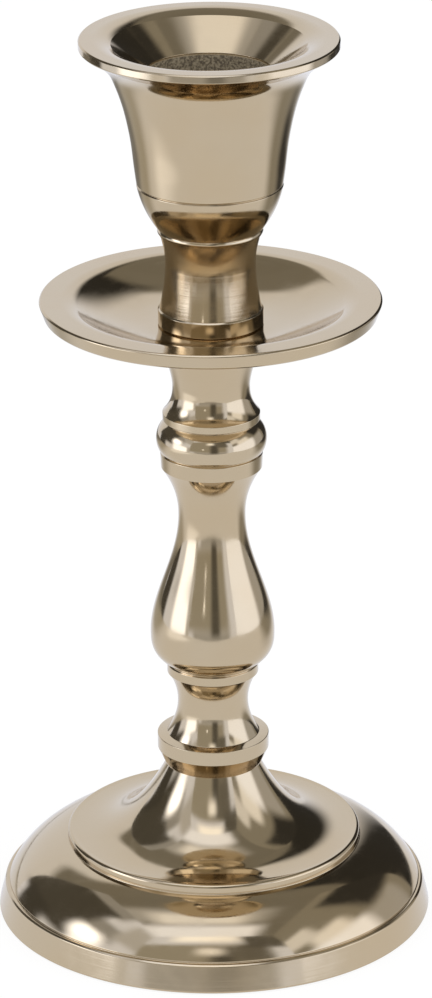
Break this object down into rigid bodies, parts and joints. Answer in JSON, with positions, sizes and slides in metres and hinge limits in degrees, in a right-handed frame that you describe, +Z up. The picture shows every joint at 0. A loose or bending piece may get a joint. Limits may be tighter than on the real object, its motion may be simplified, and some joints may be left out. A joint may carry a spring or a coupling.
{
  "type": "candle holder",
  "caption": "Turned metal candle holder: a bell-shaped cup with a candle bore, a dished drip pan, a baluster stem and a hollow round foot on a felt ring.",
  "frame": {"origin": "centre of the foot, on the surface that it stands on", "axes": "+Z up along the axis that every piece is turned about; the picture looks along +Y and down"},
  "size_m": [0.0794, 0.0794, 0.1656],
  "materials": {
    "plated_metal": "polished pale champagne plate with fine turned lines",
    "zinc_steel": "zinc plated, satin",
    "felt": "pressed wool felt"
  },
  "bodies": {
    "stand": {"foot": "plated_metal", "felt_ring": "felt", "stem": "plated_metal", "foot_stud": "zinc_steel", "foot_washer": "zinc_steel", "spring_washer": "zinc_steel", "foot_nut": "zinc_steel"},
    "pan": {"drip_pan": "plated_metal"},
    "cup": {"candle_cup": "plated_metal", "cup_stud": "zinc_steel"}
  },
  "joints": [
    {"name": "cup_turn", "type": "hinge", "parent": "stand", "child": "pan", "pos_m": [0, 0, 0.1102], "axis": [0, 0, 1], "range_deg": [0, 2880]},
    {"name": "cup_rise", "type": "slide", "parent": "pan", "child": "cup", "axis": [0, 0, 1], "range_m": [0, 0.008]}
  ],
  "couplings": [
    {"joint": "cup_rise", "follows": "cup_turn", "m_per_rad": 0.00015915}
  ]
}
